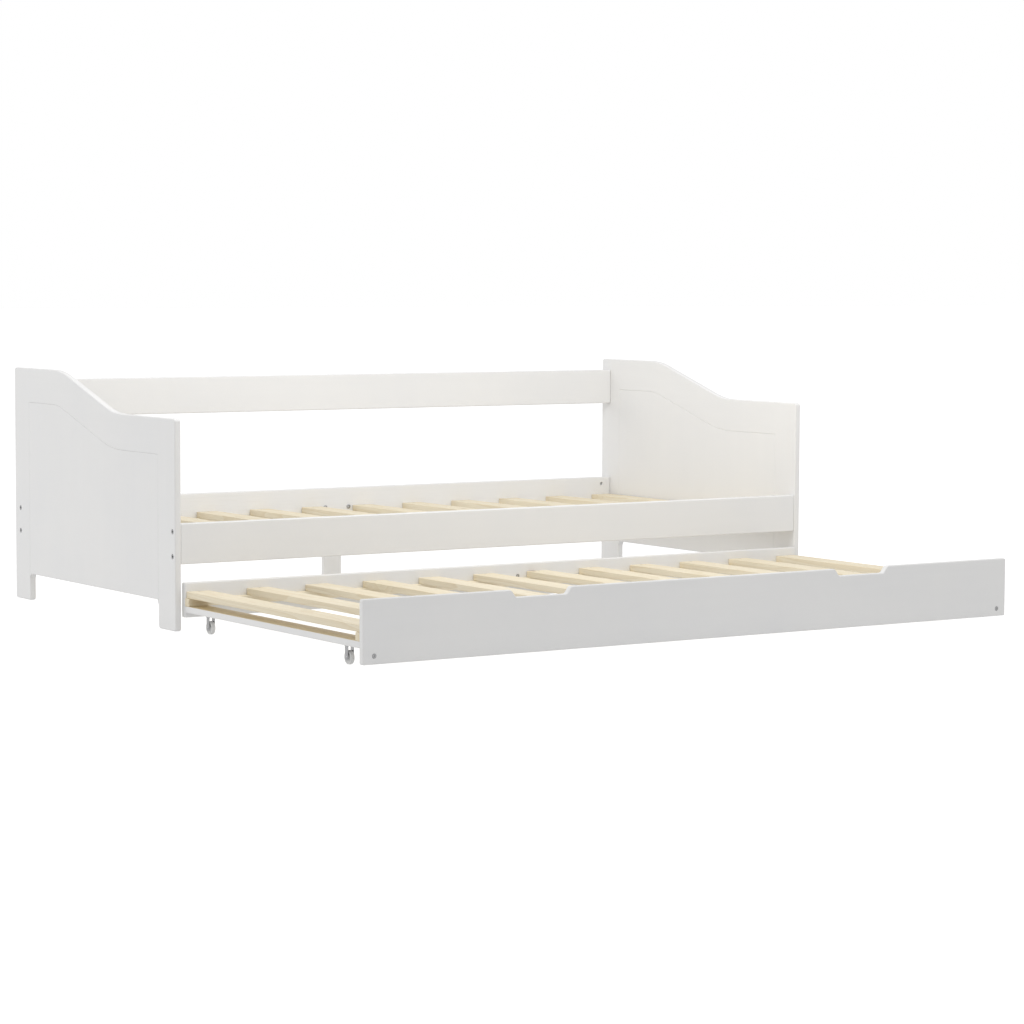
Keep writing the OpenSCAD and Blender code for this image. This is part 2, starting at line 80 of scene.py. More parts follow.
OUTER_R = 3.5 * MM      # rounding of the free edges of the end panels and the trundle's front
BOARD_R = 3 * MM        # of the painted rails and the trundle's back board
SEAM_R = 1.4 * MM       # eased edges that make the V groove between panel pieces
BUTT_R = 0.12 * MM      # edges of glued butt joints
SLAT_R = 1.8 * MM       # eased edges of the bare slats
LEDGER_R = 1.5 * MM
END_BOARD_R = 2 * MM

# Sides and directions, as signs and as vectors
LEFT, RIGHT = -1, 1
FRONT, BACK = -1, 1
UP = Vector((0, 0, 1))
DOWN = Vector((0, 0, -1))
BACKWARDS = Vector((0, 1, 0))
FORWARDS = Vector((0, -1, 0))
RIGHTWARDS = Vector((1, 0, 0))
LEFTWARDS = Vector((-1, 0, 0))


# ---- mesh tools ----------------------------------------------------------------------------

ROUND_N = 3             # faces across a rounded edge
CORNER_N = 4            # edges round a board's small corner
SMOOTH_DEG = 38         # faces that meet at less than this are shaded as one surface
STRAIGHT = 0.02         # sine of the turn below which a vertex counts as straight
WALL_STEP = 2.2         # roundings from a face to the first loop of its wall
SETTLE = 1.3            # roundings from a change of rounding to its helper points
CORNER_EASE = 1.3       # a board's corner radius, in roundings of its edges
WELD = 1e-6             # distance in metres below which two vertices become one
TURN_N = 24             # sides of the turned fasteners
BORE_N = 32             # of the holes for rail bolts and cams
SMALL_BORE_N = 28       # of the holes for barrel nuts and the trundle's bolts
SINK_N = 20             # of the holes for wood screws
WHEEL_N = 56


def arc(cu, cv, r, a0, a1, n):
    """Points of an arc round (cu, cv), angles in degrees."""
    turn = [math.radians(a0 + (a1 - a0) * i / n) for i in range(n + 1)]
    return [(cu + r * math.cos(a), cv + r * math.sin(a)) for a in turn]


def rounded(points, r):
    """The points with one edge rounding for all the edges that start at them."""
    return [(u, v, r) for u, v in points]


def offset_loop(loop, k):
    """The loop with every edge moved inwards by k times its own rounding."""
    n = len(loop)
    moved = []
    for i in range(n):
        (u0, v0, d0), (u1, v1, d1), (u2, v2, _) = loop[i - 1], loop[i], loop[(i + 1) % n]
        e0 = Vector((u1 - u0, v1 - v0)).normalized()
        e1 = Vector((u2 - u1, v2 - v1)).normalized()
        n0, n1 = Vector((-e0.y, e0.x)), Vector((-e1.y, e1.x))
        det = n0.x * n1.y - n0.y * n1.x
        if abs(det) < STRAIGHT:
            m = (n0 + n1) * (k * (d0 + d1) / 2 / (1 + n0.dot(n1)))
        else:
            m = Vector((k * (d0 * n1.y - d1 * n0.y), k * (d1 * n0.x - d0 * n1.x))) / det
        moved.append((u1 + m.x, v1 + m.y))
    return moved


def signed_area(loop):
    """Area of the loop, positive when it runs anticlockwise."""
    return sum(a[0] * b[1] - b[0] * a[1] for a, b in zip(loop, loop[1:] + loop[:1])) / 2


def anticlockwise(loop):
    """The loop turned to run anticlockwise, with each rounding kept on its own edge."""
    if signed_area(loop) > 0:
        return loop
    flipped = loop[::-1]
    n = len(flipped)
    return [(flipped[i][0], flipped[i][1], flipped[(i + 1) % n][2]) for i in range(n)]


# Where an outline's two axes and its thickness lie in space, for each thin axis
PLACE = {
    "X": lambda u, v, w: Vector((w, u, v)),
    "Y": lambda u, v, w: Vector((u, w, v)),
    "Z": lambda u, v, w: Vector((u, v, w)),
}


def helper_point(vertex, other, gap, rounding):
    """A point gap away from the vertex towards the other one, or none if that edge is short."""
    u, v, _ = vertex
    u1, v1, _ = other
    length = math.hypot(u1 - u, v1 - v)
    if length <= 2 * gap:
        return []
    t = gap / length
    return [(u + (u1 - u) * t, v + (v1 - v) * t, rounding)]


def settled(loop):
    """The loop with a helper point on each side of every vertex where the rounding changes."""
    out = []
    for before, vertex, after in zip(loop[-1:] + loop[:-1], loop, loop[1:] + loop[:1]):
        r0, r1 = before[2], vertex[2]
        gap = SETTLE * max(r0, r1)
        if r0 == r1:
            out.append(vertex)
        else:
            out += helper_point(vertex, before, gap, r0)
            out.append(vertex)
            out += helper_point(vertex, after, gap, r1)
    return out


def slab(loop, thin, w0, w1):
    """A board of any outline, with rounded edges on both faces.

    loop is a list of (u, v, rounding of the edge that starts there). The vertices of the
    rounded edges carry the attribute "edge", which the paint's wear follows.
    """
    loop = settled(anticlockwise(loop))
    n = len(loop)
    place = PLACE[thin]
    bm = bmesh.new()
    edge = bm.verts.layers.float.new("edge")
    depth = [max(loop[i][2], loop[i - 1][2]) for i in range(n)]
    half = (w1 - w0) / 2
    sides = []
    for w_face, inward in ((w0, 1), (w1, -1)):
        wall = [place(u, v, w_face + inward * min(WALL_STEP * d, half))
                for (u, v, _), d in zip(loop, depth)]
        rings = [(wall, 0.0)]
        for k in range(ROUND_N + 1):
            turn = math.pi / 2 * k / ROUND_N
            moved = offset_loop(loop, 1 - math.cos(turn))
            ring = [place(u, v, w_face + inward * d * (1 - math.sin(turn)))
                    for (u, v), d in zip(moved, depth)]
            rings.append((ring, 1.0 if k < ROUND_N else 0.0))
        made = []
        for ring, value in rings:
            verts = [bm.verts.new(p) for p in ring]
            for v in verts:
                v[edge] = value
            made.append(verts)
        sides.append(made)
    for made in sides:
        for a, b in zip(made, made[1:]):
            for i in range(n):
                j = (i + 1) % n
                bm.faces.new((a[i], a[j], b[j], b[i]))
        bm.faces.new(made[-1])
    low, high = sides[0][0], sides[1][0]
    for i in range(n):
        j = (i + 1) % n
        bm.faces.new((low[i], low[j], high[j], high[i]))
    bmesh.ops.remove_doubles(bm, verts=bm.verts, dist=WELD)
    bmesh.ops.recalc_face_normals(bm, faces=bm.faces)
    return bm


def rectangle(low, high, corner, r):
    """Outline of a rectangle with rounded corners."""
    (u0, v0), (u1, v1) = low, high
    points = []
    for cu, cv, a in ((u1 - corner, v1 - corner, 0), (u0 + corner, v1 - corner, 90),
                      (u0 + corner, v0 + corner, 180), (u1 - corner, v0 + corner, 270)):
        points += arc(cu, cv, corner, a, a + 90, CORNER_N)
    return rounded(points, r)


def flat_corners(low, high, thin):
    """The corners of a box across its thin axis, and its extent along it."""
    axis = "XYZ".index(thin)
    rest = [i for i in range(3) if i != axis]
    return ([low[i] for i in rest], [high[i] for i in rest], low[axis], high[axis])


def board_mesh(low, high, thin, r):
    """A plain rectangular board with eased edges."""
    a, b, w0, w1 = flat_corners(low, high, thin)
    return slab(rectangle(a, b, CORNER_EASE * r, r), thin, w0, w1)


def lathe(rings, n, at, axis, closed=False):
    """A turned body. rings are (height, radius or radius function of the angle).

    The ends are capped, or with closed=True the last ring joins the first, as in a tyre.
    """
    bm = bmesh.new()
    turn = UP.rotation_difference(axis).to_matrix()
    loops = []
    for height, radius in rings:
        loop = []
        for i in range(n):
            a = 2 * math.pi * i / n
            r = radius(a) if callable(radius) else radius
            point = Vector((r * math.cos(a), r * math.sin(a), height))
            loop.append(bm.verts.new(turn @ point + at))
        loops.append(loop)
    for a, b in zip(loops, loops[1:] + loops[:1] if closed else loops[1:]):
        for i in range(n):
            j = (i + 1) % n
            bm.faces.new((a[i], a[j], b[j], b[i]))
    if not closed:
        bm.faces.new(loops[0][::-1])
        bm.faces.new(loops[-1])
    bmesh.ops.recalc_face_normals(bm, faces=bm.faces)
    return bm


def joined(parts):
    """One bmesh from several."""
    whole = bmesh.new()
    for bm in parts:
        mesh = bpy.data.meshes.new("part")
        bm.to_mesh(mesh)
        whole.from_mesh(mesh)
        bm.free()
        bpy.data.meshes.remove(mesh)
    return whole


def new_object(name, bm):
    """A linked object from a bmesh."""
    mesh = bpy.data.meshes.new(name)
    bm.to_mesh(mesh)
    bm.free()
    piece = bpy.data.objects.new(name, mesh)
    bpy.context.scene.collection.objects.link(piece)
    return piece


def drilled(bm, cutters):
    """The body with the cutters cut out of it."""
    piece = new_object("drilled", bm)
    tool = new_object("cutter", joined(cutters))
    cut = piece.modifiers.new("drill", "BOOLEAN")
    cut.operation = "DIFFERENCE"
    cut.solver = "EXACT"
    cut.object = tool
    seen = piece.evaluated_get(bpy.context.evaluated_depsgraph_get())
    mesh = bpy.data.meshes.new_from_object(seen)
    out = bmesh.new()
    out.from_mesh(mesh)
    for thing in (piece, tool):
        used = thing.data
        bpy.data.objects.remove(thing)
        bpy.data.meshes.remove(used)
    bpy.data.meshes.remove(mesh)
    return out


def shade(piece):
    """Smooth rounds and flat faces with crisp borders between them."""
    mesh = piece.data
    mesh.polygons.foreach_set("use_smooth", [True] * len(mesh.polygons))
    mesh.set_sharp_from_angle(angle=math.radians(SMOOTH_DEG))
    weigh = piece.modifiers.new("weighted_normal", "WEIGHTED_NORMAL")
    weigh.mode = "FACE_AREA"
    weigh.keep_sharp = True


def finish_piece(piece, body, material, node):
    """Material, shading and its body for one piece that replaces a node, whose CAD shape is hidden."""
    piece.data.materials.clear()
    piece.data.materials.append(material)
    shade(piece)
    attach(piece, body)
    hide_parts(node)


# ---- material tools ------------------------------------------------------------------------

MIX_FACTOR, MIX_A, MIX_B, MIX_RESULT = 0, 6, 7, 2       # colour sockets of a Mix node


def rgba(value):
    """A colour with full alpha. Anything else stays as it is."""
    return (*value, 1) if isinstance(value, tuple) else value


class Nodes:
    """Short calls for building one node material."""

    def __init__(self, name):
        self.material = bpy.data.materials.new(name)
        self.material.use_nodes = True
        self.tree = self.material.node_tree
        self.shader = self.tree.nodes["Principled BSDF"]

    def add(self, kind, **inputs):
        """A new node with those inputs."""
        node = self.tree.nodes.new(kind)
        for name, value in inputs.items():
            self.set(node, name, value)
        return node

    def set(self, node, key, value):
        """Link the value to a node's input, or set it there as a constant."""
        if hasattr(value, "is_output"):
            self.tree.links.new(value, node.inputs[key])
        else:
            node.inputs[key].default_value = value

    def coords(self, scale=(1, 1, 1)):
        """Coordinates fixed to the object, scaled along its axes."""
        where = self.add("ShaderNodeTexCoord").outputs["Object"]
        return self.add("ShaderNodeMapping", Vector=where, Scale=scale).outputs["Vector"]

    def noise(self, vector, scale, detail, rough, distortion=0.0):
        """Noise from 0 to 1."""
        node = self.add("ShaderNodeTexNoise", Vector=vector, Scale=scale, Detail=detail,
                        Roughness=rough, Distortion=distortion)
        return node.outputs["Fac"]

    def ramp(self, fac, *stops):
        """Colour ramp; each stop is (place, grey level) or (place, colour)."""
        node = self.add("ShaderNodeValToRGB", Fac=fac)
        points = node.color_ramp.elements
        points.remove(points[1])
        for k, (place, value) in enumerate(stops):
            point = points.new(place) if k else points[0]
            point.position = place
            point.color = rgba(value if isinstance(value, tuple) else (value,) * 3)
        return node.outputs["Color"]

    def mix(self, fac, a, b):
        """Colour a where fac is 0, and b where it is 1."""
        node = self.tree.nodes.new("ShaderNodeMix")
        node.data_type = "RGBA"
        for key, value in ((MIX_FACTOR, fac), (MIX_A, a), (MIX_B, b)):
            self.set(node, key, rgba(value))
        return node.outputs[MIX_RESULT]

    def math(self, operation, a, b=0.0, c=0.0):
        """A Math node, such as a times b plus c for MULTIPLY_ADD."""
        node = self.tree.nodes.new("ShaderNodeMath")
        node.operation = operation
        for key, value in enumerate((a, b, c)):
            self.set(node, key, value)
        return node.outputs[0]

    def bump(self, height, distance, strength):
        """A normal bent by a height from 0 to 1, distance metres deep."""
        node = self.add("ShaderNodeBump", Height=height, Distance=distance, Strength=strength)
        return node.outputs["Normal"]

    def attribute(self, name):
        """A number kept on the mesh."""
        node = self.tree.nodes.new("ShaderNodeAttribute")
        node.attribute_name = name
        return node.outputs["Fac"]


# ---- materials -----------------------------------------------------------------------------

PAINT_COOL = (0.80, 0.80, 0.80)
PAINT_WARM = (0.83, 0.825, 0.815)
PAINT_SHADE = (0.70, 0.69, 0.67)
PAINT_WORN = (0.66, 0.62, 0.55)
PAINT_ROUGH = 0.30
PAINT_BANDS = 0.035     # share of the shade where bands of grain show through
PAINT_WEAR = 0.22       # share of the worn colour on the edges
PINE_LIGHT = (0.83, 0.757, 0.60)
PINE_DARK = (0.66, 0.525, 0.33)
PINE_HONEY = (0.77, 0.66, 0.44)
PINE_KNOT = (0.30, 0.17, 0.08)
PINE_RINGS = 2.4        # growth rings for each unit of the sway that draws them
LATE_SHARE = 0.42       # of the dark colour in the late wood
FIBRE_SHARE = 0.18
RING_SHARE = 0.25       # of the honey colour round a knot
KNOT_SHARE = 0.8
PINE_WEAR = 0.12


def along(axis, long):
    """A scale of 1 across the grain and long along it."""
    return tuple(long if a == axis else 1.0 for a in "XYZ")


def white_paint(axis, painted_shade_top=False):
    """Semi-gloss white paint on planed pine whose grain runs along axis.

    With painted_shade_top, the faces that look up get painted shade: a tan as from the slats' bounce
    light.
    """
    m = Nodes("white_paint_" + axis.lower() + ("_painted_shade_top" if painted_shade_top else ""))
    grain = m.noise(m.coords(along(axis, 0.035)), scale=420.0, detail=4.0, rough=0.6)
    bands = m.noise(m.coords(along(axis, 0.05)), scale=38.0, detail=3.0, rough=0.55, distortion=0.4)
    cloud = m.noise(m.coords(), scale=3.2, detail=3.0, rough=0.6)
    peel = m.noise(m.coords(), scale=900.0, detail=2.0, rough=0.5)
    colour = m.mix(m.ramp(cloud, (0.3, 0.0), (0.7, 1.0)), PAINT_COOL, PAINT_WARM)
    shade_share = m.math("MULTIPLY", m.ramp(bands, (0.42, 1.0), (0.62, 0.0)), PAINT_BANDS)
    colour = m.mix(shade_share, colour, PAINT_SHADE)
    worn = m.math("MULTIPLY", m.attribute("edge"), m.ramp(grain, (0.5, 0.0), (0.72, 1.0)))
    colour = m.mix(m.math("MULTIPLY", worn, PAINT_WEAR), colour, PAINT_WORN)
    # painted shade: upward faces turn a dark honey pine tan, standing in for the slats' shade and bounce
    # light
    if painted_shade_top:
        wood = m.mix(m.ramp(grain, (0.45, 0.0), (0.75, 0.6)), PINE_HONEY, PINE_DARK)
        normal = m.add("ShaderNodeTexCoord").outputs["Normal"]
        up = m.add("ShaderNodeSeparateXYZ", Vector=normal).outputs["Z"]
        colour = m.mix(m.ramp(up, (0.75, 0.0), (0.92, 1.0)), colour, wood)
    m.set(m.shader, "Base Color", colour)
    rough = m.math("MULTIPLY_ADD", m.ramp(bands, (0.3, 0.0), (0.7, 1.0)), 0.09, PAINT_ROUGH)
    m.set(m.shader, "Roughness", m.math("MULTIPLY_ADD", worn, 0.2, rough))
    m.shader.inputs["IOR"].default_value = 1.5
    height = m.math("ADD", m.math("MULTIPLY", grain, 0.5), m.math("MULTIPLY", bands, 1.0))
    height = m.math("MULTIPLY_ADD", peel, 0.25, height)
    m.set(m.shader, "Normal", m.bump(height, distance=0.22 * MM, strength=0.5))
    return m.material


def bare_pine(axis, seed):
    """Planed pale pine with growth rings along axis, fine fibres and a few knots."""
    m = Nodes("bare_pine_" + axis.lower() + "_" + str(seed))
    shift = m.add("ShaderNodeMapping", Vector=m.add("ShaderNodeTexCoord").outputs["Object"])
    shift.inputs["Location"].default_value = (seed * 0.731, seed * 0.417, seed * 0.153)
    base = shift.outputs["Vector"]

    def stretched(long):
        """The shifted coordinates, scaled by long along the grain."""
        return m.add("ShaderNodeMapping", Vector=base, Scale=along(axis, long)).outputs["Vector"]

    # knots: rare round spots, drawn out along the grain, that also bend the rings round them
    spots = m.add("ShaderNodeTexVoronoi", Vector=stretched(0.42), Scale=6.5, Randomness=1.0)
    near = spots.outputs["Distance"]
    knot = m.ramp(near, (0.045, 1.0), (0.085, 0.0))
    ring = m.ramp(near, (0.06, 1.0), (0.2, 0.0))
    sway = m.noise(stretched(0.08), scale=9.0, detail=2.0, rough=0.5)
    across = m.math("ADD", m.math("MULTIPLY", sway, 7.0), m.math("MULTIPLY", ring, 1.2))
    rings = m.math("FRACT", m.math("MULTIPLY", across, PINE_RINGS))
    late = m.ramp(rings, (0.0, 0.0), (0.72, 0.55), (0.93, 1.0), (1.0, 0.0))
    fibre = m.noise(stretched(0.02), scale=620.0, detail=3.0, rough=0.6)
    blotch = m.noise(stretched(0.3), scale=7.0, detail=3.0, rough=0.5)
    colour = m.mix(m.math("MULTIPLY", late, LATE_SHARE), PINE_LIGHT, PINE_DARK)
    colour = m.mix(m.ramp(blotch, (0.35, 0.0), (0.75, 0.35)), colour, PINE_HONEY)
    fibre_share = m.math("MULTIPLY", m.ramp(fibre, (0.5, 0.0), (0.8, 1.0)), FIBRE_SHARE)
    colour = m.mix(fibre_share, colour, PINE_DARK)
    colour = m.mix(m.math("MULTIPLY", ring, RING_SHARE), colour, PINE_HONEY)
    colour = m.mix(m.math("MULTIPLY", knot, KNOT_SHARE), colour, PINE_KNOT)
    worn = m.math("MULTIPLY", m.attribute("edge"), PINE_WEAR)
    colour = m.mix(worn, colour, PINE_HONEY)
    m.set(m.shader, "Base Color", colour)
    m.set(m.shader, "Roughness", m.math("MULTIPLY_ADD", fibre, 0.16, 0.5))
    height = m.math("MULTIPLY_ADD", late, 0.6, m.math("MULTIPLY", fibre, 1.0))
    m.set(m.shader, "Normal", m.bump(height, distance=0.3 * MM, strength=0.55))
    return m.material


def metal(name, colour, rough, scratch):
    """Plated steel with fine scratches and uneven gloss."""
    m = Nodes(name)
    fine = m.noise(m.coords(along("Z", 0.12)), scale=1400.0, detail=3.0, rough=0.6)
    cloud = m.noise(m.coords(), scale=90.0, detail=4.0, rough=0.6)
    dull = tuple(c * 0.82 for c in colour)
    m.set(m.shader, "Base Color", m.mix(m.ramp(cloud, (0.35, 0.0), (0.7, 1.0)), colour, dull))
    m.shader.inputs["Metallic"].default_value = 1.0
    m.set(m.shader, "Roughness", m.math("MULTIPLY_ADD", cloud, 0.2, rough))
    m.set(m.shader, "Normal", m.bump(fine, distance=0.06 * MM, strength=scratch))
    return m.material


def nylon(name, colour):
    """Moulded light grey plastic, a little dusty and scuffed."""
    m = Nodes(name)
    dust = m.noise(m.coords(), scale=160.0, detail=4.0, rough=0.65)
    scuff = m.noise(m.coords(along("Y", 0.2)), scale=900.0, detail=3.0, rough=0.6)
    dark = tuple(c * 0.8 for c in colour)
    m.set(m.shader, "Base Color", m.mix(m.ramp(dust, (0.4, 0.0), (0.8, 1.0)), colour, dark))
    m.set(m.shader, "Roughness", m.math("MULTIPLY_ADD", dust, 0.25, 0.35))
    m.set(m.shader, "Normal", m.bump(m.math("ADD", dust, scuff), distance=0.1 * MM, strength=0.4))
    return m.material


WHITE = {axis: white_paint(axis) for axis in "XYZ"}
# paint whose upward faces carry painted shade, for the end boards under the slats
WHITE_PAINTED_SHADE_TOP = white_paint("Y", painted_shade_top=True)
ZINC = metal("zinc_steel", (0.50, 0.505, 0.51), rough=0.26, scratch=0.4)
BRIGHT = metal("bright_steel", (0.52, 0.52, 0.53), rough=0.16, scratch=0.3)
NYLON = nylon("wheel_plastic", (0.74, 0.74, 0.73))
DOWEL_PINE = bare_pine("X", 90)
SLAT_PINE = [bare_pine("Y", seed) for seed in (1, 2, 3, 4)]
LEDGER_PINE = bare_pine("X", 11)


def painted(node, bm, body, axis):
    """A white piece in place of one CAD node, with the grain under its paint along axis."""
    finish_piece(new_object(node + "_painted", bm), body, WHITE[axis], node)


def zinc_set(name, parts, body, node):
    """Zinc plated parts as one piece in place of one CAD node."""
    finish_piece(new_object(name, joined(parts)), body, ZINC, node)


# ---- end panels ----------------------------------------------------------------------------

POST_N = 6                  # edges round a post's corner
FILLET_N = 6                # edges of a foot's fillet
TIP_R = BUTT_R / 4          # rounding at the thin tip of a fillet
CAD_HEAD_R = 6.5 * MM       # bolt heads in the frame
RAIL_SINK = [(-1 * MM, 6.9 * MM), (0.35 * MM, 6.9 * MM), (4.1 * MM, 6.6 * MM)]     # (depth, radius)


def s_line(d):
    """The S-shaped line d below the top edge, from front to back, round the panel's middle."""
    rise = BACK_H - FRONT_H
    slope_rise = rise - 2 * BEND_R * (1 - math.cos(BEND_A))
    run = 2 * BEND_R * math.sin(BEND_A) + slope_rise / math.tan(BEND_A)
    angle = math.degrees(BEND_A)
    front = arc(BEND_Y - run / 2, FRONT_H + BEND_R, BEND_R + d, -90, -90 + angle, BEND_N)
    back = arc(BEND_Y + run / 2, BACK_H - BEND_R, BEND_R - d, 90 + angle, 90, BEND_N)
    return front + back


def shifted(loop):
    """An outline drawn round the panel's middle, moved to the panel's place."""
    return [(u + PANEL_MID, v, r) for u, v, r in loop]


def mirrored(points):
    """The outline mirrored front to back, with each rounding kept on its own edge."""
    back = points[::-1]
    n = len(back)
    return [(-back[i][0], back[i][1], back[(i + 1) % n][2]) for i in range(n)]


def post_outline(front, height):
    """Outline of a post in Y and Z. front is FRONT or BACK."""
    points = [(INNER_HALF, height - POST_W, BUTT_R), (INNER_HALF, height, OUTER_R)]
    outer, inner = PANEL_HALF - CORNER_R, INNER_HALF + CORNER_R
    points += rounded(arc(outer, height - CORNER_R, CORNER_R, 90, 0, POST_N), OUTER_R)
    points += rounded(arc(outer, CORNER_R, CORNER_R, 0, -90, POST_N), OUTER_R)
    points += rounded(arc(inner, CORNER_R, CORNER_R, -90, -180, POST_N), OUTER_R)
    points.append((INNER_HALF, FOOT_H - FILLET_R, SEAM_R))
    return shifted(points if front == BACK else mirrored(points))


def top_rail_outline():
    """Outline of a top rail in Y and Z, between the posts."""
    points = [(-INNER_HALF, FRONT_H - POST_W, BUTT_R), (-INNER_HALF, FRONT_H, OUTER_R)]
    points += rounded(s_line(0), OUTER_R)
    points += [(INNER_HALF, BACK_H, BUTT_R), (INNER_HALF, BACK_H - POST_W, SEAM_R)]
    points += rounded(s_line(POST_W)[::-1], SEAM_R)
    return shifted(points)


def foot_fillet(start, end, side):
    """Fillet between the centre panel and a foot, thinning out to nothing against the post."""
    points = []
    centre = side * (INNER_HALF - FILLET_R)
    for i, (u, v) in enumerate(arc(centre, FOOT_H - FILLET_R, FILLET_R, start, end, FILLET_N)):
        step = i + 0.5 if side == FRONT else FILLET_N - i - 0.5
        thick = FILLET_R * (1 - math.cos(math.pi / 2 * step / FILLET_N))
        points.append((u, v, min(OUTER_R, 0.5 * thick)))
    return points


def centre_outline():
    """Outline of a centre panel in Y and Z, with a fillet down to each foot."""
    front = foot_fillet(180, 90, FRONT)
    back = foot_fillet(90, 0, BACK)
    front[-1] = (*front[-1][:2], OUTER_R)
    back[-1] = (*back[-1][:2], TIP_R)
    points = front + back
    points += [(INNER_HALF, FOOT_H + OUTER_R, SEAM_R), (INNER_HALF, BACK_H - POST_W, SEAM_R)]
    points += rounded(s_line(POST_W)[::-1], SEAM_R)
    points += [(-INNER_HALF, FRONT_H - POST_W, SEAM_R), (-INNER_HALF, FOOT_H + OUTER_R, TIP_R)]
    return shifted(points)


def rail_bolt_places():
    """Outer end of the axis and direction inwards of each of the eight rail bolts."""
    low, high = box("rail_bolts")
    places = []
    for inwards, x in ((RIGHTWARDS, low.x), (LEFTWARDS, high.x)):
        for y in (low.y + CAD_HEAD_R, high.y - CAD_HEAD_R):
            for z in (low.z + CAD_HEAD_R, high.z - CAD_HEAD_R):
                places.append((Vector((x, y, z)), inwards))
    return places


RAIL_BOLTS = rail_bolt_places()


def counterbores(side, front):
    """Cutters for the two bolt heads in one post."""
    return [lathe(RAIL_SINK, BORE_N, at, inwards) for at, inwards in RAIL_BOLTS
            if inwards.x == -side and (at.y < PANEL_MID) == (front == FRONT)]


def end_panel(side, label):
    """Two posts, the curved top rail and the centre panel of one end."""
    low, high = box(label + "_front_post")
    for front, name, height in ((FRONT, "_front_post", FRONT_H), (BACK, "_back_post", BACK_H)):
        post = slab(post_outline(front, height), "X", low.x, high.x)
        painted(label + name, drilled(post, counterbores(side, front)), "daybed", "Z")
    painted(label + "_top_rail", slab(top_rail_outline(), "X", low.x, high.x), "daybed", "Y")
    painted(label + "_centre_panel", slab(centre_outline(), "X", low.x, high.x), "daybed", "Z")


# ---- rails, leg and boards -----------------------------------------------------------------

NUT_R = 4.9 * MM            # barrel nuts in the frame
NUT_SINK = [(-1 * MM, 5.5 * MM), (0, 5.5 * MM), (0.6 * MM, 5 * MM), (6 * MM, 5 * MM)]  # (depth, radius)
CAM_R = 7.5 * MM            # of the holes that the cams sit in
CAM_T = 12.5 * MM
CAM_IN = 34 * MM            # from the upper rail's end to the middle of its cam
CAM_SINK = [(-1 * MM, CAM_R + 0.3 * MM), (0.3 * MM, CAM_R), (CAM_T + 0.2 * MM, CAM_R)]
CAM_BOLT_R = 2.8 * MM
CAM_BOLT_DEEP = 12 * MM     # from the rail's back face to the axis of the cam's bolt
LEG_HALF = 29.5 * MM
LEG_HEAD_HALF = 55 * MM
LEG_HEAD_H = 72 * MM
LEG_CURVE = 10 * MM         # between the head and the leg
LEG_CORNER = 4 * MM
LEG_HEAD_CORNER = 5 * MM
LEG_R = 2.5 * MM            # rounding of its edges


def nut_holes(y_face, into):
    """Cutters for the barrel nut holes in a lower rail's inner face."""
    nuts_low, nuts_high = box("barrel_nuts")
    bolt_z = sorted({round(at.z, 5) for at, _ in RAIL_BOLTS})
    return [lathe(NUT_SINK, SMALL_BORE_N, Vector((x, y_face, z)), into)
            for x in (nuts_low.x + NUT_R, nuts_high.x - NUT_R)
            for z in (bolt_z[0], bolt_z[-1])]


def cam_places():
    """Middle of each cam's outer face, in the back of the upper rail."""
    low, high = box("upper_back_rail")
    z = (low.z + high.z) / 2
    return [Vector((x, high.y, z)) for x in (low.x + CAM_IN, high.x - CAM_IN)]


def cam_fittings():
    """Two cam locks with a cross recess, and the bolts from the posts that they hold."""
    low, high = box("cam_fittings")
    parts = []
    for at in cam_places():
        rings = [(3 * MM, cross(1.6 * MM, 0.6 * MM)), (0.7 * MM, cross(4.2 * MM, 1.1 * MM)),
                 (0.5 * MM, CAM_R - 1 * MM), (0.5 * MM, CAM_R - 0.7 * MM), (0.9 * MM, CAM_R - 0.1 * MM),
                 (CAM_T, CAM_R - 0.1 * MM)]
        parts.append(lathe(rings, TURN_N, at, FORWARDS))
        end_x, inwards = (high.x, LEFTWARDS) if at.x > 0 else (low.x, RIGHTWARDS)
        rings = [(0, CAM_BOLT_R - 0.4 * MM), (0.5 * MM, CAM_BOLT_R),
                 (abs(end_x - at.x) - CAM_R, CAM_BOLT_R)]
        parts.append(lathe(rings, TURN_N, Vector((end_x, at.y - CAM_BOLT_DEEP, at.z)), inwards))
    zinc_set("cam_fitting_set", parts, "daybed", "cam_fittings")


def rails():
    """The three long rails, with the holes for their barrel nuts and cams."""
    holes = {
        "front_rail": nut_holes(box("front_rail")[1].y, FORWARDS),
        "lower_back_rail": nut_holes(box("lower_back_rail")[0].y, BACKWARDS),
        "upper_back_rail": [lathe(CAM_SINK, BORE_N, at, FORWARDS) for at in cam_places()],
    }
    for node, cutters in holes.items():
        painted(node, drilled(board_mesh(*box(node), "Y", BOARD_R), cutters), "daybed", "X")


def middle_leg():
    """T-shaped board behind the lower back rail."""
    low, high = box("middle_leg")
    head_z = high.z - LEG_HEAD_H
    head_u = LEG_HEAD_HALF - LEG_HEAD_CORNER
    points = arc(LEG_HALF - LEG_CORNER, LEG_CORNER, LEG_CORNER, -90, 0, CORNER_N)
    points += arc(LEG_HALF + LEG_CURVE, head_z - LEG_CURVE, LEG_CURVE, 180, 90, CORNER_N + 1)
    points += arc(head_u, head_z + LEG_HEAD_CORNER, LEG_HEAD_CORNER, -90, 0, CORNER_N)
    points += arc(head_u, high.z - LEG_HEAD_CORNER, LEG_HEAD_CORNER, 0, 90, CORNER_N)
    points += [(-u, v) for u, v in reversed(points)]
    painted("middle_leg", slab(rounded(points, LEG_R), "Y", low.y, high.y), "daybed", "Z")


# ---- slats ---------------------------------------------------------------------------------

SCREW_HEAD_R = 3.6 * MM
SCREW_R = 1.8 * MM
HEAD_DEPTH = 2.2 * MM
SCREW_INSET = 10 * MM       # from a slat's end to its screw
SCREW_SUNK = 0.25 * MM
SCREW_L = 30 * MM
SHORT_SCREW_L = 14 * MM
WARP = 0.8 * MM             # greatest sideways bow of a slat
WARP_LIFT = 0.7             # bow up or down, as a share of that
WARP_N = 8                  # lengths that a slat is cut into, so that it can bend


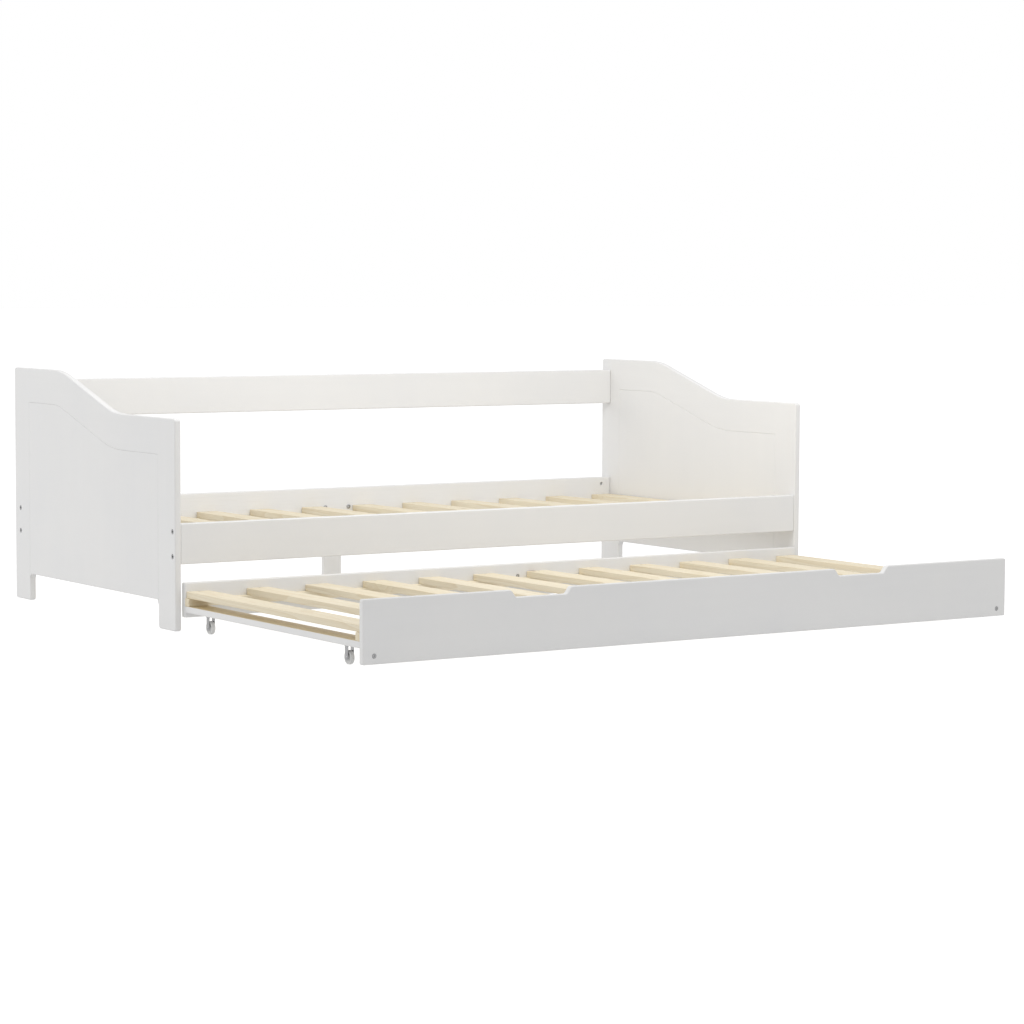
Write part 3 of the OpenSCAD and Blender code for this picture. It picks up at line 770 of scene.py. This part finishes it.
def sink_hole(at, inwards):
    """Cutter for the sunk head of a wood screw."""
    r = SCREW_HEAD_R + 0.25 * MM
    rings = [(-0.5 * MM, r), (SCREW_SUNK, r), (HEAD_DEPTH + SCREW_SUNK, SCREW_R + 0.2 * MM)]
    return lathe(rings, SINK_N, at, inwards)


def warp(bm):
    """A slight bow, sideways and up or down, as planed pine has. The ends stay on their ledgers."""
    ys = [v.co.y for v in bm.verts]
    start, length = min(ys), max(ys) - min(ys)
    for k in range(1, WARP_N):
        cut = start + length * k / WARP_N
        geometry = bm.verts[:] + bm.edges[:] + bm.faces[:]
        bmesh.ops.bisect_plane(bm, geom=geometry, plane_co=(0, cut, 0), plane_no=(0, 1, 0))
    side = rng.uniform(-1, 1)
    lift = rng.uniform(-0.6, 1)
    for v in bm.verts:
        t = math.sin(math.pi * (v.co.y - start) / length)
        v.co.x += side * WARP * t
        v.co.z += lift * WARP_LIFT * WARP * t


def slat(node, body):
    """One bare slat with a sunk screw hole at each end."""
    low, high = box(node)
    bm = board_mesh(low, high, "Z", SLAT_R)
    warp(bm)
    x = (low.x + high.x) / 2
    ends = (low.y + SCREW_INSET, high.y - SCREW_INSET)
    bm = drilled(bm, [sink_hole(Vector((x, y, high.z)), DOWN) for y in ends])
    piece = new_object(node + "_pine", bm)
    finish_piece(piece, body, SLAT_PINE[rng.randrange(len(SLAT_PINE))], node)


def slat_middles(prefix):
    """X of the middle of every slat of one base."""
    boxes = [box("%s_%d" % (prefix, i)) for i in range(1, SLAT_N + 1)]
    return [(low.x + high.x) / 2 for low, high in boxes]


def ledger_screw_places(prefix, node, inwards):
    """Where a ledger is screwed to its board: between every second pair of slats."""
    low, high = box(node)
    middles = slat_middles(prefix)
    y = high.y if inwards == FORWARDS else low.y
    z = (low.z + high.z) / 2
    return [Vector(((middles[i] + middles[i + 1]) / 2, y, z)) for i in range(0, SLAT_N - 1, 2)]


LEDGERS = [     # slats on it, node, way its screws go, body
    ("bed_slat", "bed_front_ledger", FORWARDS, "daybed"),
    ("bed_slat", "bed_back_ledger", BACKWARDS, "daybed"),
    ("trundle_slat", "trundle_front_ledger", FORWARDS, "trundle"),
    ("trundle_slat", "trundle_back_ledger", BACKWARDS, "trundle"),
]


def ledgers():
    """The four strips under the slats, with sunk screw holes."""
    for prefix, node, inwards, body in LEDGERS:
        cutters = [sink_hole(at, inwards) for at in ledger_screw_places(prefix, node, inwards)]
        bm = drilled(board_mesh(*box(node), "Y", LEDGER_R), cutters)
        finish_piece(new_object(node + "_pine", bm), body, LEDGER_PINE, node)


def slats():
    """Both bases of twelve slats."""
    for prefix, body in (("bed_slat", "daybed"), ("trundle_slat", "trundle")):
        for i in range(1, SLAT_N + 1):
            slat("%s_%d" % (prefix, i), body)


# ---- fasteners -----------------------------------------------------------------------------

def hexagon(r):
    """Radius of a hexagon with that inner radius, by angle."""
    return lambda a: r / math.cos((a + math.pi / 6) % (math.pi / 3) - math.pi / 6)


def cross(arm, width):
    """Radius of a cross recess, by angle."""
    def radius(a):
        c, s = abs(math.cos(a)) + 1e-9, abs(math.sin(a)) + 1e-9
        return max(min(arm / c, width / s), min(arm / s, width / c))
    return radius


BOLT_SUNK = 0.3 * MM        # of a head's face below the board's face
BOLT_RIM = 0.9 * MM
RAIL_BOLT = {"head_r": 6.3 * MM, "head_t": 3.6 * MM, "shank_r": 3 * MM, "length": 65 * MM,
             "socket_r": 2.9 * MM}
LEG_BOLT = {"head_r": CAD_HEAD_R, "head_t": 1.8 * MM, "shank_r": 3 * MM, "length": 38 * MM,
            "socket_r": 2.9 * MM, "dome": 1.2 * MM}
SMALL_BOLT = {"head_r": 5.4 * MM, "head_t": 2.2 * MM, "shank_r": 2.5 * MM, "socket_r": 2.2 * MM}


def bolt(at, inwards, head_r, head_t, shank_r, length, socket_r, dome=0.0):
    """A socket bolt: head with an eased rim and a hexagon socket, and a shank with a point."""
    rim = BOLT_RIM
    rings = [(2.5 * MM, hexagon(socket_r)), (0.15 * MM, hexagon(socket_r)),
             (-dome, hexagon(socket_r * 1.12)), (-dome, head_r - 2 * rim),
             (-dome * 0.6 + rim * 0.3, head_r - rim * 0.4), (rim, head_r),
             (head_t - 0.3 * MM, head_r), (head_t, head_r - 0.3 * MM), (head_t, shank_r),
             (length - shank_r, shank_r), (length, shank_r * 0.6)]
    return lathe(rings, TURN_N, at, inwards)


def wood_screw(at, inwards, length):
    """A countersunk screw with a cross recess, its head a little below the surface."""
    top = SCREW_SUNK
    rings = [(top + 1.5 * MM, cross(0.9 * MM, 0.3 * MM)), (top, cross(2.1 * MM, 0.62 * MM)),
             (top, SCREW_HEAD_R - 0.25 * MM), (top + 0.25 * MM, SCREW_HEAD_R),
             (top + HEAD_DEPTH, SCREW_R), (length - 4 * MM, SCREW_R), (length, 0.3 * MM)]
    return lathe(rings, TURN_N, at, inwards)


def rail_bolts():
    """The eight bolts through the posts into the lower rails."""
    parts = [bolt(at + inwards * BOLT_SUNK, inwards, **RAIL_BOLT) for at, inwards in RAIL_BOLTS]
    zinc_set("rail_bolt_set", parts, "daybed", "rail_bolts")


def leg_bolts():
    """The two domed bolts of the middle leg."""
    low, high = box("leg_bolts")
    y = low.y + LEG_BOLT["dome"]
    z = (low.z + high.z) / 2
    parts = [bolt(Vector((x, y, z)), BACKWARDS, **LEG_BOLT)
             for x in (low.x + CAD_HEAD_R, high.x - CAD_HEAD_R)]
    zinc_set("leg_bolt_set", parts, "daybed", "leg_bolts")


def screws(prefix):
    """Every wood screw of one slatted base: down through the slats, and through the ledgers."""
    low, high = box(prefix + "_1")
    parts = []
    for x in slat_middles(prefix):
        for y in (low.y + SCREW_INSET, high.y - SCREW_INSET):
            parts.append(wood_screw(Vector((x, y, high.z)), DOWN, SCREW_L))
    for slats_on, node, inwards, _ in LEDGERS:
        if slats_on == prefix:
            parts += [wood_screw(at, inwards, SCREW_L)
                      for at in ledger_screw_places(prefix, node, inwards)]
    return parts


def end_board_screw_places():
    """Screws through the back board into the end boards: two at each end."""
    back = box("trundle_back_board")[1].y
    low, high = box("left_end_board")
    z = (low.z + high.z) / 2
    quarter = (high.x - low.x) / 4
    middle = abs(low.x + high.x) / 2
    return [Vector((side * middle + d, back, z)) for side in (LEFT, RIGHT) for d in (-quarter, quarter)]


def wood_screws():
    """The wood screws of the daybed, and those of the trundle."""
    zinc_set("bed_screw_set", screws("bed_slat"), "daybed", "bed_screws")
    parts = screws("trundle_slat")
    parts += [wood_screw(at, FORWARDS, SCREW_L) for at in end_board_screw_places()]
    zinc_set("trundle_screw_set", parts, "trundle", "trundle_screws")


# ---- trundle -------------------------------------------------------------------------------

LOW_BOLT_X = 969 * MM       # bracket bolts in the front panel
LOW_BOLT_Z = 32 * MM
BRACKET_BOLT_L = 23.5 * MM
CENTRE_BOLT_X = 25 * MM     # short bolt in the back board
CENTRE_BOLT_Z = 91 * MM
CENTRE_BOLT_L = 13.5 * MM
TRUNDLE_SINK = [(-1 * MM, 6 * MM), (0.3 * MM, 6 * MM), (2.7 * MM, 5.7 * MM)]       # (depth, radius)
NOTCH_X = 499 * MM          # middles of the finger notches
NOTCH_HALF = 91 * MM
NOTCH_SLOPE = 20 * MM
NOTCH_DEEP = 18 * MM
NOTCH_N = 10


def notch(middle, top):
    """Top edge across one finger notch, from left to right, with soft shoulders."""
    turns = [math.pi * i / NOTCH_N for i in range(NOTCH_N + 1)]
    fall = [(NOTCH_SLOPE * a / math.pi, NOTCH_DEEP * (1 - math.cos(a)) / 2) for a in turns]
    left = [(middle - NOTCH_HALF + d, top - z) for d, z in fall]
    right = [(middle + NOTCH_HALF - d, top - z) for d, z in reversed(fall)]
    return left + right


def front_outline(low, high):
    """Outline of the trundle's front panel in X and Z, with eased corners and two notches."""
    corner = CORNER_EASE * OUTER_R
    u0, u1 = low.x + corner, high.x - corner
    v0, v1 = low.z + corner, high.z - corner
    points = arc(u0, v0, corner, -90, -180, CORNER_N)
    points += arc(u0, v1, corner, 180, 90, CORNER_N)
    points += notch(-NOTCH_X, high.z) + notch(NOTCH_X, high.z)
    points += arc(u1, v1, corner, 90, 0, CORNER_N)
    points += arc(u1, v0, corner, 0, -90, CORNER_N)
    return rounded(points, OUTER_R)


def trundle_bolt_places():
    """Where each of the trundle's three bolts enters its board, and its length."""
    front = box("trundle_front_panel")[0].y
    back = box("trundle_back_board")[0].y
    return [
        (Vector((-LOW_BOLT_X, front, LOW_BOLT_Z)), BRACKET_BOLT_L),
        (Vector((LOW_BOLT_X, front, LOW_BOLT_Z)), BRACKET_BOLT_L),
        (Vector((CENTRE_BOLT_X, back, CENTRE_BOLT_Z)), CENTRE_BOLT_L),
    ]


def trundle_boards():
    """The trundle's front panel, back board and two end boards."""
    sinks = [lathe(TRUNDLE_SINK, SMALL_BORE_N, at, BACKWARDS) for at, _ in trundle_bolt_places()]
    low, high = box("trundle_front_panel")
    bm = drilled(slab(front_outline(low, high), "Y", low.y, high.y), sinks[:2])
    piece = new_object("trundle_front_painted", bm)
    finish_piece(piece, "trundle", WHITE["X"], "trundle_front_panel")

    cutters = sinks[2:] + [sink_hole(at, FORWARDS) for at in end_board_screw_places()]
    bm = drilled(board_mesh(*box("trundle_back_board"), "Y", BOARD_R), cutters)
    piece = new_object("trundle_back_painted", bm)
    finish_piece(piece, "trundle", WHITE["X"], "trundle_back_board")

    # the end boards' tops get painted shade, tan like bounce light from the slats above
    for node in ("left_end_board", "right_end_board"):
        piece = new_object(node + "_painted", board_mesh(*box(node), "Z", END_BOARD_R))
        finish_piece(piece, "trundle", WHITE_PAINTED_SHADE_TOP, node)


def trundle_bolts():
    """The two bolts of the brackets and the short one of the back board."""
    parts = [bolt(at + BACKWARDS * BOLT_SUNK, BACKWARDS, length=length, **SMALL_BOLT)
             for at, length in trundle_bolt_places()]
    zinc_set("trundle_bolt_set", parts, "trundle", "trundle_bolts")


# ---- casters -------------------------------------------------------------------------------

WHEEL_NODES = ("wheel_front_left", "wheel_front_right", "wheel_back_left", "wheel_back_right")
WHEEL_R = 17 * MM
WHEEL_HALF = 5.5 * MM       # half of its width
CHEEK_IN = 7 * MM           # from the wheel's middle to a cheek's inner face
CHEEK_OUT = CHEEK_IN + 1.5 * MM
CHEEK_HALF = 7 * MM         # half of its width
CHEEK_R = 0.35 * MM
FLARE = 5 * MM              # where the cheeks widen below the plate
NECK_H = 6 * MM
PLATE_T = 1.6 * MM
PLATE_HALF_X = 9 * MM
PLATE_HALF_Y = 19 * MM
PLATE_CORNER = 3.5 * MM
PLATE_R = 0.4 * MM
PLATE_SCREWS = (-13.5 * MM, 13.5 * MM)      # along Y from the wheel's middle
BRACKET_T = 2 * MM
BRACKET_SCREW_X = 7 * MM    # from the bracket's bolt
BRACKET_SCREW_Y = 17 * MM   # from the bracket's front
AXLE_CAP = 1.1 * MM


def fork(centre, top):
    """A pressed fork: a plate with rounded corners and two strips down to the axle."""
    under = top - PLATE_T
    corners = [(centre.x + side * PLATE_HALF_X, centre.y + side * PLATE_HALF_Y) for side in (-1, 1)]
    plate = slab(rectangle(*corners, PLATE_CORNER, PLATE_R), "Z", under, top)
    holes = [sink_hole(Vector((centre.x, centre.y + d, under)), UP) for d in PLATE_SCREWS]
    parts = [drilled(plate, holes)]
    neck = under - NECK_H
    narrow, wide = CHEEK_HALF, CHEEK_HALF + FLARE
    outline = arc(centre.y, centre.z, narrow, 180, 360, 12)
    outline += [(centre.y + narrow, neck), (centre.y + wide, under),
                (centre.y - wide, under), (centre.y - narrow, neck)]
    for x0, x1 in ((-CHEEK_OUT, -CHEEK_IN), (CHEEK_IN, CHEEK_OUT)):
        parts.append(slab(rounded(outline, CHEEK_R), "X", centre.x + x0, centre.x + x1))
    return parts


def wheel_mesh(centre):
    """A moulded wheel with a hub, a sunk web and a crowned tread."""
    half = WHEEL_HALF
    side = [(half, 2.6 * MM), (half, 4.6 * MM), (half - 0.4 * MM, 5.2 * MM), (half - 1.8 * MM, 5.8 * MM),
            (half - 1.8 * MM, 12.2 * MM), (half - 0.5 * MM, 12.9 * MM), (half - 0.2 * MM, 15.2 * MM),
            (half - 0.9 * MM, 16.4 * MM), (half - 2.2 * MM, 16.9 * MM), (0, WHEEL_R)]
    rings = [(-h, radius) for h, radius in side] + [(h, radius) for h, radius in reversed(side[:-1])]
    return lathe(rings, WHEEL_N, centre, RIGHTWARDS, closed=True)


def axle(centre):
    """A pin through both cheeks with a riveted cap at each end."""
    out = CHEEK_OUT
    end = [(out, 2.5 * MM), (out, 3.8 * MM), (out + 0.1 * MM, 3.8 * MM),
           (out + AXLE_CAP * 0.7, 3.1 * MM), (out + AXLE_CAP, 1.6 * MM)]
    rings = [(-height, radius) for height, radius in reversed(end)] + end
    return lathe(rings, TURN_N, centre, RIGHTWARDS)


def bracket_screws():
    """The screws up through the two brackets into the end boards."""
    low, high = box("trundle_brackets")
    y = low.y + BRACKET_SCREW_Y
    z = high.z - BRACKET_T - SCREW_SUNK
    return [wood_screw(Vector((side * LOW_BOLT_X + d, y, z)), UP, SHORT_SCREW_L)
            for side in (LEFT, RIGHT) for d in (-BRACKET_SCREW_X, BRACKET_SCREW_X)]


def casters():
    """The four wheels, each a body of its own, and the sets of forks, axles and short screws."""
    top = box("caster_forks")[1].z
    forks, axles, short = [], [], []
    for node in WHEEL_NODES:
        low, high = box(node)
        centre = (low + high) / 2
        piece = new_object(node + "_nylon", wheel_mesh(centre))
        finish_piece(piece, node + "_body", NYLON, node)
        forks += fork(centre, top)
        axles.append(axle(centre))
        for d in PLATE_SCREWS:
            at = Vector((centre.x, centre.y + d, top - PLATE_T))
            short.append(wood_screw(at, UP, SHORT_SCREW_L))
    fork_set = new_object("caster_fork_set", joined(forks))
    finish_piece(fork_set, "trundle", BRIGHT, "caster_forks")
    axle_set = new_object("caster_axle_set", joined(axles))
    finish_piece(axle_set, "trundle", BRIGHT, "caster_axles")
    zinc_set("caster_screw_set", short + bracket_screws(), "trundle", "caster_screws")


def kept_cad_nodes():
    """Nodes whose CAD shape is right only take a better material."""
    kept = {"barrel_nuts": ZINC, "trundle_brackets": ZINC, "rail_dowels": DOWEL_PINE}
    for node, material in kept.items():
        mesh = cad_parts[node].data
        mesh.materials.clear()
        mesh.materials.append(material)


# ---- studio --------------------------------------------------------------------------------

FLOOR_SEEN = 0.85       # glow of the floor towards the camera, which keeps it near white
FLOOR_GLOW = 0.45       # glow of the floor towards everything else
FLOOR_COLOUR = 0.35
FLOOR_HALF = 60.0       # half of its width, in metres
SURROUND = 0.72         # strength of the world's light, which the camera sees as 1
LIGHTS = [      # name, place, aim, size, power
    ("bed_light", (-0.1, -0.55, 1.9), (0.3, 0.6, 0.3), (2.4, 0.8), 22.0),
    ("left_light", (-4.2, 2.2, 2.0), (0.5, 0.4, 0.4), (2.5, 2.0), 31.0),
]


def floor():
    """A large pale floor."""
    bm = bmesh.new()
    corners = ((-1, -1), (1, -1), (1, 1), (-1, 1))
    bm.faces.new([bm.verts.new((x * FLOOR_HALF, y * FLOOR_HALF, 0)) for x, y in corners])
    piece = new_object("floor", bm)
    m = Nodes("studio_floor")
    speck = m.ramp(m.noise(m.coords(), scale=40.0, detail=3.0, rough=0.5), (0.3, 0.0), (0.7, 1.0))
    m.set(m.shader, "Base Color", m.mix(speck, (FLOOR_COLOUR,) * 3, (FLOOR_COLOUR * 1.04,) * 3))
    m.shader.inputs["Roughness"].default_value = 0.7
    m.shader.inputs["Specular IOR Level"].default_value = 0.1
    m.shader.inputs["Emission Color"].default_value = (1, 1, 1, 1)
    seen = m.tree.nodes.new("ShaderNodeLightPath").outputs["Is Camera Ray"]
    glow = m.math("MULTIPLY_ADD", seen, FLOOR_SEEN - FLOOR_GLOW, FLOOR_GLOW)
    m.set(m.shader, "Emission Strength", glow)
    piece.data.materials.append(m.material)


def surround():
    """A world that looks white and gives soft light from all sides."""
    world = bpy.data.worlds.new("studio")
    bpy.context.scene.world = world
    world.use_nodes = True
    tree = world.node_tree
    seen = tree.nodes.new("ShaderNodeLightPath").outputs["Is Camera Ray"]
    strength = tree.nodes.new("ShaderNodeMath")
    strength.operation = "MULTIPLY_ADD"
    strength.inputs[1].default_value = 1.0 - SURROUND
    strength.inputs[2].default_value = SURROUND
    tree.links.new(seen, strength.inputs[0])
    tree.nodes["Background"].inputs["Color"].default_value = (1, 1, 1, 1)
    tree.links.new(strength.outputs[0], tree.nodes["Background"].inputs["Strength"])


def lights():
    """Two large soft lamps that the camera doesn't see."""
    for name, at, aim, size, power in LIGHTS:
        lamp = bpy.data.lights.new(name, "AREA")
        lamp.shape = "RECTANGLE"
        lamp.size, lamp.size_y = size
        lamp.energy = power
        holder = bpy.data.objects.new(name, lamp)
        holder.location = at
        holder.rotation_euler = (Vector(aim) - Vector(at)).to_track_quat("-Z", "Y").to_euler()
        holder.visible_camera = False
        bpy.context.scene.collection.objects.link(holder)


CAMERA_AT = (-4.5761, PANEL_MID - 7.4109, 0.9208)
CAMERA_YAW = math.radians(33.54)
CAMERA_PITCH = math.radians(4.50)
CAMERA_ROLL = math.radians(0.26)
CAMERA_LENS = 106.82        # millimetres
CAMERA_SENSOR = 36.0        # millimetres
CAMERA_FAR = 200.0          # metres


def camera():
    """The camera, to the left in front of the bed."""
    lens = bpy.data.cameras.new("camera")
    lens.lens = CAMERA_LENS
    lens.sensor_width = CAMERA_SENSOR
    lens.clip_end = CAMERA_FAR
    holder = bpy.data.objects.new("camera", lens)
    turn = Matrix.Rotation(-CAMERA_YAW, 4, "Z") @ Matrix.Rotation(math.pi / 2 - CAMERA_PITCH, 4, "X")
    holder.matrix_world = Matrix.Translation(CAMERA_AT) @ turn @ Matrix.Rotation(CAMERA_ROLL, 4, "Z")
    bpy.context.scene.collection.objects.link(holder)
    bpy.context.scene.camera = holder


# ---- everything ----------------------------------------------------------------------------

end_panel(LEFT, "left")
end_panel(RIGHT, "right")
rails()
middle_leg()
ledgers()
slats()
rail_bolts()
leg_bolts()
cam_fittings()
wood_screws()
trundle_boards()
trundle_bolts()
casters()
kept_cad_nodes()
floor()
surround()
lights()
camera()
bpy.context.scene.view_settings.view_transform = "Standard"
